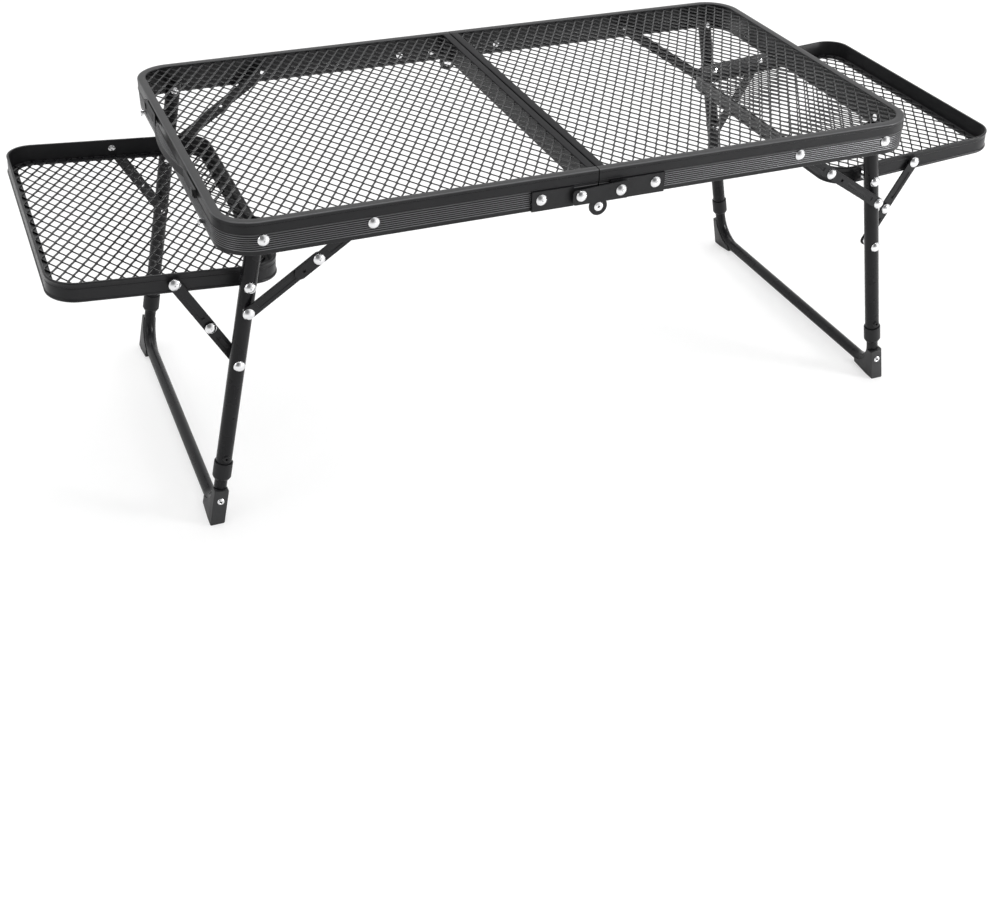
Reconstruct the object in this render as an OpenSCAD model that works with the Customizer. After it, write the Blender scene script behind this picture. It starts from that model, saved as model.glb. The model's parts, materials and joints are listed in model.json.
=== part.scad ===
// Folding camping table: two mesh halves, two folding U legs and two side wings.
// X runs along the table, Y across it, Z up. The origin is on the floor, under the centre.

/* [Top] */
// Length of the open top over both halves
top_l = 750; // [740:5:860]
// Width of the top
top_w = 420; // [380:5:480]
// Gap between the two halves at the centre seam
seam = 1; // [0.8:0.1:1.6]
// Outer radius of the four corners of the top
corner_r = 38; // [30:1:45]

/* [Frame section] */
// Height of the side frame
frame_h = 33; // [31:0.5:36]
// Width of the flat lip on top of the frame
lip_w = 9; // [8:0.5:10]
// Thickness of the lip
lip_t = 1.6; // [1.5:0.1:2.2]
// Thickness of the frame wall
wall_t = 2; // [1.8:0.1:2.6]
// Depth of the plain band above the ledge line
band_h = 11; // [10:0.5:12]
// Number of flutes in the ribbed band
flutes = 7; // [5:1:7]
// Distance between flutes
flute_pitch = 2.15; // [2:0.05:2.2]
// Height of the centre bars
bar_h = 32; // [28:0.5:32.5]

/* [Legs] */
// Distance from the end of the top to the leg pivot
leg_inset = 39; // [38:1:44]
// Gap left beside the seam by a folded leg
fold_gap = 7.3; // [7:0.1:12]
// Outward lean of an open leg, in degrees
splay = 12; // [9:0.5:14]
// Depth of the pivots below the top
pivot_drop = 18.5; // [18:0.5:19]
// Outer diameter of the upper leg tube
tube_d = 16; // [15.6:0.1:16.4]
// Wall of the upper leg tube
tube_wall = 1.2; // [1:0.1:1.3]
// Outer diameter of the lower leg tube
lower_d = 13; // [12:0.1:13]
// Distance from the long side to the leg axis
leg_y = 27; // [27:0.5:29]
// Overlap of the lower tube inside the upper one
tube_overlap = 96; // [60:1:98]
// Bend radius of the lower leg tube
bend_r = 32; // [26:1:32]
// Height of the ground bar above the floor
bar_clear = 5; // [4:0.5:7]
// Travel of the lower leg
height_travel = 8; // [5:1:8]

/* [Feet] */
// Width of a foot cap
foot_w = 15; // [14.8:0.1:17]
// Length of a foot cap along the ground bar
foot_l = 32; // [28:1:36]
// Height of a foot cap
foot_h = 41; // [38:0.5:41]

/* [Wings] */
// Length of a wing along the table
wing_l = 217; // [190:1:230]
// Gap between a leg tube and the wing rim
wing_gap = 10; // [9.5:0.5:11]
// Height of the wing rim
rim_h = 20; // [18:0.5:20]
// Outer radius of the wing corners
wing_r = 28; // [20:1:34]
// Upward tilt of an open wing, in degrees
wing_tilt = 4; // [1:0.5:5]
// Distance from the inner end of the wing to its pivot
wing_inner = 38; // [32:1:40]
// Distance from leg pivot to wing pivot
wing_d = 58; // [56:1:62]

/* [Braces] */
// Distance from leg pivot to the table brace pivot on the leg
brace_d = 82; // [80:1:86]
// Distance from leg pivot to the table brace pivot on the frame
brace_x = 105; // [100:1:110]
// Distance from leg pivot to the wing brace pivot on the leg
wing_brace_d = 142; // [136:1:146]
// Distance from wing pivot to the wing brace pivot on the rim
rim_brace_d = 66; // [60:1:70]
// Width of a brace link
link_w = 12; // [10:0.5:12]
// Thickness of a table brace link
link_t = 2; // [1.6:0.1:2]
// Length of an upper link's stop tail past its middle pivot
tail_l = 22; // [14:1:24]

/* [Rivets] */
// Diameter of a domed rivet head
dome_d = 11.5; // [10:0.5:12]
// Height of a domed rivet head
dome_h = 3.4; // [2.6:0.1:3.4]
// Diameter of a rivet shank
shank_d = 5; // [4:0.1:5.4]

/* [Mesh] */
// Pitch of the diamonds across the table
mesh_y = 42; // [36:1:60]
// Pitch of the diamonds along the table
mesh_x = 24.4; // [20:0.2:36]
// Width of a mesh strand
strand = 3.2; // [2.4:0.1:4]
// Thickness of the mesh sheet
mesh_t = 1.4; // [1:0.1:1.6]

/* [Latch and hinge] */
// Distance between the two latch studs
latch_span = 43; // [40:1:46]
// Height of a latch plate at its pivot end
latch_h = 18.5; // [17:0.5:18.5]
// Fall of the latch plate's top edge towards its free end
latch_fall = 3; // [0:0.5:4]
// Thickness of a latch plate
latch_t = 1.5; // [1.2:0.1:2]
// Length of a hinge base plate from the seam
base_l = 72; // [68:1:80]
// Thickness of a hinge base plate
base_t = 2.6; // [2.4:0.1:3]
// Distance of the fold pivot below the frame
fold_drop = 5; // [4.8:0.1:6]
// Outer radius of the fold ears
ear_r = 9.5; // [8:0.5:10]

/* [Hidden] */
$fn = 48;
left = -1;
right = 1;

// Clearances: fixed seats, running bores, faces that pass, bushes near a corner's curve, and
// how far a cutter runs past the face that it cuts
seat = 0.05;
run = 0.05;
pass = 0.3;
corner_gap = 0.4;
past = 1;

// Places of the pivots, as [x, z] on the left half
half_l = top_l / 2;
leg_reach = half_l - leg_inset - fold_gap;
top_z = pivot_drop + leg_reach * cos(splay);
pivot_z = top_z - pivot_drop;
leg_pivot = [-(half_l - leg_inset), pivot_z];
leg_dir = [-sin(splay), -cos(splay)];
wing_dir = [-cos(wing_tilt), sin(wing_tilt)];
wing_pivot = leg_pivot + wing_d * leg_dir;
brace_pivot = leg_pivot + brace_d * leg_dir;
wing_brace_pivot = leg_pivot + wing_brace_d * leg_dir;
frame_pivot = leg_pivot + [brace_x, 0];
rim_pivot = wing_pivot + rim_brace_d * wing_dir;
fold_pivot = [0, top_z - frame_h - fold_drop];

// Link lengths: straight when open, doubled back on themselves when folded
open_brace = norm(brace_pivot - frame_pivot);
brace_upper_l = (open_brace - (brace_x - brace_d)) / 2;
brace_mid = frame_pivot + (brace_pivot - frame_pivot) * brace_upper_l / open_brace;
open_wing_brace = norm(rim_pivot - wing_brace_pivot);
wing_upper_l = (open_wing_brace + (wing_brace_d - wing_d - rim_brace_d)) / 2;
wing_brace_mid = rim_pivot + (wing_brace_pivot - rim_pivot) * wing_upper_l / open_wing_brace;

// Layers across one long side, measured inward from its outer face
link_stand = 6.1;
wing_stand = 3.5;
wing_link_t = 1.6;
tube_y0 = leg_y - tube_d / 2;
tube_y1 = leg_y + tube_d / 2;
wing_y = tube_y1 + wing_gap;
lower_link_y = tube_y0 - link_stand;
upper_link_y = lower_link_y - pass - link_t;
wing_lower_y = tube_y1 + wing_stand;
wing_upper_y = wing_lower_y + wing_link_t + pass;

// Stations down the leg from its pivot
button_rise = 79.7;
button_clear = 7;
collar_l = 20.5;
collar_seat = 10;
tube_top = 8;
button_d = leg_reach - button_rise;
collar_d0 = button_d + button_clear;
collar_d1 = collar_d0 + collar_l;
tube_end = collar_d0 + collar_seat;
lower_top = tube_end - tube_overlap;
ground_bar_d = leg_reach - (bar_clear + lower_d / 2) / cos(splay);
bend_z = -ground_bar_d + bend_r;

// Side frame: edge, crease, ledge bead and flutes, and the feet of the plates on it
edge_r = lip_t * 0.9;
ledge_r = 0.6;
flute_r = 0.7;
flute_start = 3.2;
band_crease = 3.6;
crease_r = 0.5;
bar_tuck = 0.5;
cap_l = 5;
plate_gap = 1.4;
latch_z = top_z - 21.5;
plate_z0 = top_z - frame_h;
plate_z1 = top_z - band_h - plate_gap;
plate_rivet_x = -base_l + 10;
latch_x = -latch_span / 2;

// Wing rim: wall, flange, beads and crease
rim_t = 1.6;
flange_w = 10;
flange_t = 1.4;
bead_in = 0.9;
top_bead_r = 1.3;
foot_bead_r = 1.9;
rim_crease = 6;

// Rivets: bushes, the peened tails, and thinner heads where links pass close
boss_d = 9;
tail_d = 8;
tail_h = 1.6;
thin_dome_h = 3.1;
head_edge = 0.6;
saddle_d = 8;

// Links: pressed channel and stop dimple
press_w = 4.3;
press_deep = 0.5;
press_end = 12;
dimple_d = 3.4;
dimple_in = 14;

// Fold pins, latch plates and their snaps
fold_pin_d = 6;
fold_head_d = 9.5;
fold_bore_d = 2.8;
ear_solid = 2.5;
latch_stand = 3.6;
latch_end = 9;
latch_r = 3;
snap_shank = 4;

// Studs: neck, cap and base
stud_h = 5.9;
neck_d = 5.6;
cap_d = 8.7;
cap_h = 1;
stud_base_d = 8;
stud_base_h = 1.15;

// Collars, feet and buttons
collar_wall = 1.5;
collar_straight = 17;
collar_lip = 1;
foot_skin = 2.5;
foot_flat = 12;
foot_shelf = 18;
toe_z0 = 4.5;
toe_z1 = 19;
foot_rivet_d = leg_reach - 28.7;
foot_shank = 4;
foot_dome_d = 7.5;
foot_dome_h = 1.8;
foot_y = leg_y - lower_d / 2 - foot_skin;
button_w = 7.2;
button_out = 1.3;
button_step = 0.5;
button_bore = 2.6;
button_flange = 1.2;
slot_w = button_w + 0.4;

// Ends of the top: strap, its clips, closing studs and hooks
end_y = top_w / 2 - 70;
end_ys = [-end_y, end_y];
end_z = top_z - 24;
clip_y = top_w / 2 - 96;
clip_ys = [-clip_y, clip_y];
clip_end = 5.5;
clip_shank = 3;
clip_cap_d = 9;
clip_cap_h = 1.2;
clip_base_d = 6;
strap_z = top_z - 6.2;
strap_seat = 0.3;
strap_t = 1.6;
strap_w = 9;
strap_end_l = 46;
bow = 9.5;
hook_gap = 1.5;
hook_t = 1.5;
hook_w = 9;
hook_end = 2;
notch_w = 6.2;

black = [0.09, 0.09, 0.10];
plastic = [0.05, 0.05, 0.05];
chrome = [0.82, 0.83, 0.85];
strap_grey = [0.13, 0.13, 0.14];

// One half of the table: the left as drawn, the right as its mirror image
module half(side) {
    if (side == left) children();
    else mirror([1, 0, 0]) children();
}

// A piece that only one long side has: the near one, or mirrored to the far one
module one_side(far) {
    mirror([0, far ? 1 : 0, 0]) translate([0, -top_w / 2, 0]) children();
}

// A piece on the near long side and its mirror image on the far one
module both_sides() {
    one_side(false) children();
    one_side(true) children();
}

// The leg's own frame: origin on its pivot, -Z along the tube
module in_leg() {
    translate([leg_pivot.x, 0, leg_pivot.y]) rotate([0, splay, 0]) children();
}

// The wing's own frame: origin on its pivot, -X towards the outer end
module in_wing() {
    translate([wing_pivot.x, 0, wing_pivot.y]) rotate([0, wing_tilt, 0]) children();
}

// A flat sheet in the XZ plane, from y0 inward
module sheet(y0, t) {
    translate([0, y0 + t, 0]) rotate([90, 0, 0]) linear_extrude(t) children();
}

// A round bar across the table from y0 to y1
module pin(p, y0, y1, d) {
    translate([p.x, y1, p.y]) rotate([90, 0, 0]) cylinder(h = y1 - y0, d = d);
}

// A domed head with its flat side at y, bulging outward or inward
module dome(p, y, d = dome_d, h = dome_h, inward = false) {
    cap = h - head_edge;
    ball = (d * d / 4 + cap * cap) / (2 * cap);
    translate([p.x, y, p.y]) rotate([inward ? -90 : 90, 0, 0]) rotate_extrude() {
        square([d / 2, head_edge]);
        intersection() {
            translate([0, h - ball]) circle(r = ball, $fn = 96);
            square([d / 2, h]);
        }
    }
}

// The peened tail of a rivet, on the inner side
module tail(p, y) {
    dome(p, y, tail_d, tail_h, true);
}

// A link outline between two pivots, with round ends
module link_shape(p, q) {
    along = q - p;
    translate(p) circle(d = link_w);
    translate(q) circle(d = link_w);
    translate(p) rotate(atan2(along.y, along.x)) translate([0, -link_w / 2]) square([norm(along), link_w]);
}

// A link with its two pivot holes, a pressed channel along its middle, and a stop dimple
// that lies on the stop tail of an upper link, or where the tail meets a lower one
module link(p, q, y0, t, tail = 0) {
    along = (q - p) / norm(q - p);
    side = atan2(along.y, along.x);
    press_l = norm(q - p) - link_w - press_end;
    stop = q + along * (tail > 0 ? tail - link_w / 3 : -dimple_in);
    difference() {
        sheet(y0, t) difference() {
            link_shape(p, q + along * tail);
            translate(p) circle(d = shank_d + 2 * run);
            translate(q) circle(d = shank_d + 2 * run);
        }
        sheet(y0 - past, past + press_deep) translate(p) rotate(side)
            translate([(norm(q - p) - press_l) / 2, -press_w / 2]) square([press_l, press_w]);
        pin(stop, y0 - past, y0 + t - press_deep, dimple_d);
    }
}

// Section of the side frame: X inward from the outer face, Y up from the top
module frame_section() {
    difference() {
        union() {
            intersection() {
                translate([edge_r, -edge_r]) circle(r = edge_r);
                translate([0, -edge_r]) square(edge_r);
            }
            translate([edge_r, -lip_t]) square([lip_w - edge_r, lip_t]);
            translate([0, -frame_h]) square([wall_t, frame_h - edge_r]);
            translate([0, -band_h - ledge_r]) circle(r = ledge_r, $fn = 24);
        }
        for (i = [0 : flutes - 1])
            translate([0, -band_h - flute_start - i * flute_pitch]) circle(r = flute_r, $fn = 24);
        translate([-crease_r / 2, -band_crease]) circle(r = crease_r, $fn = 24);
    }
}

// A straight run along X, a straight run along Y, and a corner of the same section
module run_x(len) {
    rotate([90, 0, 90]) linear_extrude(len) children();
}
module run_y(len) {
    translate([0, len, 0]) rotate([90, 0, 0]) linear_extrude(len) children();
}
module bend(r) {
    translate([r, r, 0]) rotate([0, 0, 180]) rotate_extrude(angle = 90, $fn = 96)
        translate([r, 0]) mirror([1, 0]) children();
}

// One near quarter of a rail around a panel, and a rail open at the seam
module quarter_rail(len, w, r) {
    bend(r) children();
    translate([r, 0, 0]) run_x(len - r) children();
    translate([0, r, 0]) run_y(w / 2 - r) children();
}
module open_rail(len, w, r) {
    for (k = [0, 1]) mirror([0, k, 0]) translate([-len, -w / 2, 0]) quarter_rail(len, w, r) children();
}

// A panel outline with rounded corners at its outer end, or at both ends
module panel_shape(x0, x1, hy, r, both_ends) {
    translate([x0, -hy + r]) square([x1 - x0, 2 * (hy - r)]);
    translate([x0 + r, -hy]) square([x1 - x0 - (both_ends ? 2 : 1) * r, 2 * hy]);
    for (x = both_ends ? [x0 + r, x1 - r] : [x0 + r], y = [-hy + r, hy - r])
        translate([x, y]) circle(r = r, $fn = 96);
}

// A sheet of expanded mesh: diamonds cut out of a plain sheet up to a border all round. The
// diamonds are twice the pitch of the real ones, with strands as wide in proportion.
module mesh_sheet(x0, x1, hy, r, border, both_ends) {
    dx = (mesh_x - strand * norm([mesh_x, mesh_y]) / mesh_y) / 2;
    dy = dx * mesh_y / mesh_x;
    nx = floor((x1 - x0 - 2 * border + dx) / mesh_x);
    ny = floor((2 * hy - 2 * border + dy) / mesh_y);
    linear_extrude(mesh_t) difference() {
        panel_shape(x0, x1, hy, r, both_ends);
        intersection() {
            panel_shape(x0 + border, x1 - border, hy - border, r - border, both_ends);
            for (i = [-nx : nx], j = [-ny : ny]) if ((i + j) % 2 == 0)
                translate([(x0 + x1 + i * mesh_x) / 2, j * mesh_y / 2])
                    polygon([[-dx, 0], [0, -dy], [dx, 0], [0, dy]]);
        }
    }
}

// Frame of one half: a rail on three sides, open at the seam
module side_frame(side) {
    color(black) half(side) difference() {
        translate([-seam / 2, 0, top_z]) open_rail(half_l - seam / 2, top_w, corner_r) frame_section();
        both_sides() for (p = [leg_pivot, frame_pivot, [plate_rivet_x, latch_z], [latch_x, latch_z]])
            pin(p, -past, wall_t + past, shank_d + 2 * seat);
        for (y = end_ys) end_hole(y, end_z, shank_d);
        if (side == left) for (y = clip_ys) end_hole(y, strap_z, clip_shank);
    }
}

// A hole through the end of the frame for a shank of diameter d
module end_hole(y, z, d) {
    translate([-half_l - past, y, z]) rotate([0, 90, 0]) cylinder(h = wall_t + 2 * past, d = d + 2 * seat);
}

// Centre bar of one half: a wall along the seam and a lip, between the two long sides
module centre_bar(side) {
    wall_l = top_w - 2 * (wall_t + seat);
    lip_l = top_w - 2 * (lip_w + seat);
    color(black) half(side) translate([-seam / 2, 0, top_z]) {
        translate([-wall_t, -wall_l / 2, -bar_h]) cube([wall_t, wall_l, bar_h - lip_t]);
        translate([-lip_w - bar_tuck, -lip_l / 2, -lip_t]) cube([lip_w + bar_tuck, lip_l, lip_t]);
    }
}

// Mesh panel of one half, tucked under the lips
module mesh(side) {
    edge = wall_t + corner_gap;
    border = lip_w - edge - wall_t * 0.3;
    color(black) half(side) translate([0, 0, top_z - lip_t - seat - mesh_t])
        mesh_sheet(-half_l + edge, -seam / 2 - edge, top_w / 2 - edge, corner_r - edge, border, false);
}

// Plastic end caps in the channel of a centre bar
module bar_caps(side) {
    cap_w = lip_w - wall_t - past;
    cap_h = bar_h - lip_t - mesh_t - pass;
    color(plastic) half(side) both_sides()
        translate([-seam / 2 - wall_t - seat - cap_w, lip_w + pass, top_z - bar_h]) cube([cap_w, cap_l, cap_h]);
}

// Base plate of the fold hinge: full thickness behind the rivets, half at the ear, which is
// the outer half on the one side and the inner half on the other
module base_plate(front) {
    half_t = base_t / 2;
    ear_y = front ? -base_t : -half_t + seat;
    body_x = front ? ear_r + ear_solid : latch_span / 2 + link_w / 2;
    ear_z1 = latch_z + latch_h / 2 - latch_fall;
    difference() {
        union() {
            sheet(-base_t, base_t) translate([-base_l, plate_z0]) square([base_l - body_x, plate_z1 - plate_z0]);
            sheet(ear_y, half_t - 2 * seat) {
                translate(fold_pivot) circle(r = ear_r);
                translate([-body_x - past, plate_z0]) square([body_x - seam / 2, ear_z1 - plate_z0]);
            }
        }
        pin([plate_rivet_x, latch_z], -base_t - past, past, shank_d + 2 * seat);
        pin([latch_x, latch_z], -base_t - past, past, shank_d + 2 * seat);
        pin(fold_pivot, -base_t - past, past, fold_pin_d + 2 * run);
    }
}

// Both base plates of one half
module hinge_plates(side) {
    color(black) half(side) {
        one_side(false) base_plate(side == right);
        one_side(true) base_plate(side == left);
    }
}

// Hollow fold rivets through both ears
module hinge_pins() {
    pin_tail_d = 2 * (fold_drop - corner_gap);
    color(chrome) for (k = [0, 180]) rotate([0, 0, k]) translate([0, -top_w / 2, 0]) difference() {
        union() {
            dome(fold_pivot, -base_t - seat, fold_head_d, tail_h);
            pin(fold_pivot, -base_t - head_edge, clip_cap_h, fold_pin_d);
            pin(fold_pivot, seat, clip_cap_h, pin_tail_d);
        }
        pin(fold_pivot, -base_t - tail_h - past, clip_cap_h + past, fold_bore_d);
    }
}

// A frame rivet: its head at head_y, a shank up to tail_y, and a bush off the wall up to bush_y
module frame_rivet(p, head_y, bush_y, tail_y) {
    dome(p, head_y);
    pin(p, head_y - head_edge, tail_y, shank_d);
    if (bush_y > wall_t) pin(p, wall_t + corner_gap, bush_y, boss_d);
}

// Fixed rivets of one half: leg pivots, brace pivots, plate rivets and the latch pivot
module frame_rivets(side) {
    latch_in = -base_t - latch_stand;
    tail_y = wall_t + past;
    color(chrome) half(side) {
        both_sides() {
            frame_rivet(leg_pivot, -seat, tube_y0 - 2 * seat, tube_y1 + tail_h);
            tail(leg_pivot, tube_y1 + 4 * seat);
            frame_rivet(frame_pivot, -seat, upper_link_y - seat, upper_link_y + link_t);
            frame_rivet([plate_rivet_x, latch_z], -base_t - seat, 0, tail_y);
            tail([plate_rivet_x, latch_z], wall_t + seat);
        }
        one_side(side == left) {
            frame_rivet([latch_x, latch_z], latch_in - latch_t - seat, 0, tail_y);
            pin([latch_x, latch_z], latch_in + seat, -base_t - seat, boss_d);
            tail([latch_x, latch_z], wall_t + seat);
        }
    }
}

// A mushroom stud: base inside the wall, shank, neck, and a cap that a hook or snap grips.
// It stands back where its seat lies out from the wall.
module stud(back) {
    base_z = -wall_t - stud_base_h - seat - back;
    translate([0, 0, base_z]) cylinder(h = stud_base_h, d = stud_base_d);
    translate([0, 0, base_z]) cylinder(h = -base_z + 2 * seat, d = shank_d);
    translate([0, 0, seat]) cylinder(h = stud_h - cap_h - back, d = neck_d);
    translate([0, 0, stud_h - cap_h - back]) cylinder(h = cap_h, d = cap_d);
}

// Studs of one half: one for the latch, and on the left half two for the closing hooks
module studs(side) {
    back = base_t / 2;
    color(chrome) half(side) {
        one_side(side == right) translate([latch_x, -back, latch_z]) rotate([90, 0, 0]) stud(back);
        if (side == left) for (y = end_ys) translate([-half_l, y, end_z]) rotate([0, -90, 0]) stud(0);
    }
}

// Latch plate, drawn on the left half and turned to the side where it pivots. Its top edge
// falls towards the free end.
module latch_plate(side) {
    out_y = -base_t - latch_stand - latch_t;
    end_x = latch_span / 2 + latch_end - latch_r;
    low_z = latch_z - latch_h / 2 + latch_r;
    high_z = latch_z + latch_h / 2 - latch_r;
    color(black) half(side) one_side(side == left) sheet(out_y, latch_t) difference() {
        union() {
            for (p = [[-end_x, low_z], [end_x, low_z], [-end_x, high_z], [end_x, high_z - latch_fall]])
                translate(p) circle(r = latch_r);
            polygon([[-end_x - latch_r, low_z], [-end_x, low_z - latch_r], [end_x, low_z - latch_r],
                [end_x + latch_r, low_z], [end_x + latch_r, high_z - latch_fall],
                [end_x, high_z + latch_r - latch_fall], [-end_x, high_z + latch_r], [-end_x - latch_r, high_z]]);
        }
        translate([latch_x, latch_z]) circle(d = shank_d + 2 * run);
        translate([-latch_x, latch_z]) circle(d = snap_shank + 2 * seat);
    }
}

// Snap button on the free end of a latch plate
module latch_snap(side) {
    out_y = -base_t - latch_stand - latch_t;
    color(chrome) half(side) one_side(side == left) {
        dome([-latch_x, latch_z], out_y - seat);
        pin([-latch_x, latch_z], out_y - head_edge, out_y + latch_t, snap_shank);
    }
}

// Upper leg tubes with their cross holes
module upper_legs(side) {
    color(black) half(side) both_sides() in_leg() difference() {
        translate([0, leg_y, -tube_end]) cylinder(h = tube_end + tube_top, d = tube_d);
        translate([0, leg_y, -tube_end - past])
            cylinder(h = tube_end + tube_top + 2 * past, d = tube_d - 2 * tube_wall);
        for (d = [0, wing_d, brace_d, wing_brace_d]) pin([0, -d], 0, 2 * leg_y, shank_d + 2 * run);
        pin([0, -button_d], 0, leg_y, button_w + 2 * run);
    }
}

// Plastic collars at the lower end of the upper tubes, straight and then tapered
module collars(side) {
    collar_w = tube_d + 2 * collar_wall;
    color(plastic) half(side) both_sides() in_leg() translate([0, leg_y, -collar_d0]) difference() {
        union() {
            translate([0, 0, -collar_straight]) cylinder(h = collar_straight, d = collar_w);
            translate([0, 0, -collar_l])
                cylinder(h = collar_l - collar_straight, d1 = lower_d + 2 * collar_lip, d2 = collar_w);
        }
        translate([0, 0, -collar_seat - seat]) cylinder(h = collar_seat + past, d = tube_d + 2 * seat);
        translate([0, 0, -collar_l - past]) cylinder(h = collar_l + 2 * past, d = lower_d + 2 * run);
    }
}

// Takes the round of the tube away from what seats on it at station d
module seated_on_tube(d) {
    difference() {
        children();
        translate([0, leg_y, -d - dome_d]) cylinder(h = 2 * dome_d, d = tube_d + 2 * seat);
    }
}

// A domed head with a saddle that seats on the outside of the tube
module saddle_head(d) {
    seated_on_tube(d) {
        dome([0, -d], tube_y0);
        pin([0, -d], tube_y0 - seat, tube_y0 + wall_t, saddle_d);
    }
}

// Leg rivets: wing pivots, table brace pivots and wing brace pivots
module leg_rivets(side) {
    color(chrome) half(side) both_sides() in_leg() {
        saddle_head(wing_d);
        pin([0, -wing_d], tube_y0 - seat, wing_y + rim_t + past, shank_d);
        seated_on_tube(wing_d) pin([0, -wing_d], tube_y1 - wall_t, wing_y - seat, boss_d);
        tail([0, -wing_d], wing_y + rim_t + seat);
        dome([0, -brace_d], lower_link_y - seat);
        pin([0, -brace_d], lower_link_y - head_edge, tube_y1 + past, shank_d);
        seated_on_tube(brace_d) pin([0, -brace_d], lower_link_y + link_t + seat, tube_y0 + wall_t, boss_d);
        tail([0, -brace_d], tube_y1 + seat);
        saddle_head(wing_brace_d);
        pin([0, -wing_brace_d], tube_y0 - seat, wing_lower_y + wing_link_t, shank_d);
        seated_on_tube(wing_brace_d) pin([0, -wing_brace_d], tube_y1 - wall_t, wing_lower_y - seat, boss_d);
    }
}

// The bent part of the lower leg at one foot, with straight ends of the given lengths
module leg_bend(d, rise, flat) {
    translate([0, leg_y, bend_z]) cylinder(h = rise, d = d);
    translate([0, leg_y + bend_r, bend_z]) rotate([0, 90, 0]) rotate([0, 0, -90])
        rotate_extrude(angle = 90) translate([bend_r, 0]) circle(d = d);
    translate([0, leg_y + bend_r, -ground_bar_d]) rotate([-90, 0, 0]) cylinder(h = flat, d = d);
}

// Lower leg: two tubes that slide in the upper ones, joined by the ground bar
module lower_leg(side) {
    rise = -lower_top - bend_z;
    flat = top_w / 2 - leg_y - bend_r;
    color(black) half(side) in_leg() difference() {
        both_sides() leg_bend(lower_d, rise, flat);
        both_sides() {
            leg_bend(lower_d - 2 * tube_wall, rise + past, flat);
            for (k = [0, height_travel]) pin([0, -button_d - k], 0, leg_y, slot_w);
            translate([-slot_w / 2, 0, -button_d - height_travel]) cube([slot_w, leg_y, height_travel]);
            pin([0, -foot_rivet_d], 0, leg_y, foot_shank + 2 * seat);
        }
    }
}

// Foot caps: wedges over the bends, flat on the floor
module feet(side) {
    color(plastic) half(side) both_sides() in_leg() difference() {
        translate([-foot_w / 2, foot_y, -leg_reach]) rotate([90, 0, 90]) linear_extrude(foot_w)
            polygon([[0, -foot_w], [foot_flat, -foot_w], [foot_flat, 0], [foot_l, toe_z0],
                [foot_l, toe_z1], [foot_shelf, foot_h], [0, foot_h]]);
        leg_bend(lower_d + 2 * seat, foot_h, foot_l);
        pin([0, -foot_rivet_d], 0, leg_y, foot_shank + 2 * seat);
        translate([0, 0, -leg_reach]) rotate([0, -splay, 0])
            translate([-foot_l, -past, -foot_l]) cube([2 * foot_l, 2 * foot_l, foot_l]);
    }
}

// Small rivets that hold the feet
module foot_rivets(side) {
    color(chrome) half(side) both_sides() in_leg() {
        dome([0, -foot_rivet_d], foot_y - seat, foot_dome_d, foot_dome_h);
        pin([0, -foot_rivet_d], foot_y - head_edge, leg_y - tail_h * 2, foot_shank);
    }
}

// Snap button: hollow pin with a base flange inside the tubes
module button(side, far) {
    out_y = tube_y0 - button_out;
    in_y = leg_y - tube_wall * 2;
    color(chrome) half(side) one_side(far) in_leg() difference() {
        union() {
            pin([0, -button_d], out_y, in_y, button_w - 2 * button_step);
            pin([0, -button_d], out_y + button_step, in_y, button_w);
            pin([0, -button_d], in_y, in_y + button_flange, button_w + 2 * pass);
        }
        pin([0, -button_d], out_y - past, out_y + foot_shank, button_bore);
    }
}

// Section of the wing rim: X inward from the outer face, Y up from the pivot line
module rim_section() {
    translate([0, -rim_h / 2]) difference() {
        union() {
            square([rim_t, rim_h - top_bead_r]);
            square([flange_w, flange_t]);
            translate([bead_in, rim_h - top_bead_r]) circle(r = top_bead_r, $fn = 24);
            intersection() {
                translate([bead_in, foot_bead_r]) circle(r = foot_bead_r, $fn = 24);
                translate([-foot_bead_r, 0]) square([foot_bead_r + rim_t, rim_h]);
            }
        }
        translate([0, rim_h - rim_crease]) circle(r = crease_r, $fn = 24);
    }
}

// Rim of a wing: four quarters of one rail
module wing_rim(side) {
    wing_w = top_w - 2 * wing_y;
    middle_x = wing_inner - wing_l / 2;
    color(black) half(side) in_wing() difference() {
        translate([middle_x, 0, 0]) for (kx = [0, 1], ky = [0, 1]) mirror([kx, 0, 0]) mirror([0, ky, 0])
            translate([-wing_l / 2, -wing_w / 2, 0]) quarter_rail(wing_l / 2, wing_w, wing_r) rim_section();
        both_sides() {
            pin([0, 0], wing_y - foot_bead_r, wing_y + rim_t + past, shank_d + 2 * run);
            pin([-rim_brace_d, 0], wing_y - foot_bead_r, wing_y + rim_t + past, shank_d + 2 * seat);
        }
    }
}

// Wing mesh, lying on the flange of the rim
module wing_mesh(side) {
    edge = rim_t + corner_gap;
    border = flange_w - edge - past;
    color(black) half(side) in_wing() translate([0, 0, -rim_h / 2 + flange_t + seat])
        mesh_sheet(wing_inner - wing_l + edge, wing_inner - edge, top_w / 2 - wing_y - edge,
            wing_r - edge, border, true);
}

// Rivets on the rim that carry the wing braces
module wing_rivets(side) {
    p = [-rim_brace_d, 0];
    color(chrome) half(side) both_sides() in_wing() {
        dome(p, wing_upper_y - seat, dome_d, thin_dome_h);
        pin(p, wing_upper_y - head_edge, wing_y + rim_t + past, shank_d);
        pin(p, wing_upper_y + wing_link_t + seat, wing_y - seat, tail_d);
        tail(p, wing_y + rim_t + seat);
    }
}

// Table brace links: the upper hangs from the frame, the lower from the leg
module brace_uppers(side) {
    color(black) half(side) both_sides() link(frame_pivot, brace_mid, upper_link_y, link_t, tail_l);
}
module brace_lowers(side) {
    color(black) half(side) both_sides() link(brace_pivot, brace_mid, lower_link_y, link_t);
}
module brace_mid_rivets(side) {
    color(chrome) half(side) both_sides() {
        dome(brace_mid, upper_link_y - seat);
        pin(brace_mid, upper_link_y - head_edge, upper_link_y + link_t, shank_d);
    }
}

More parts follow.
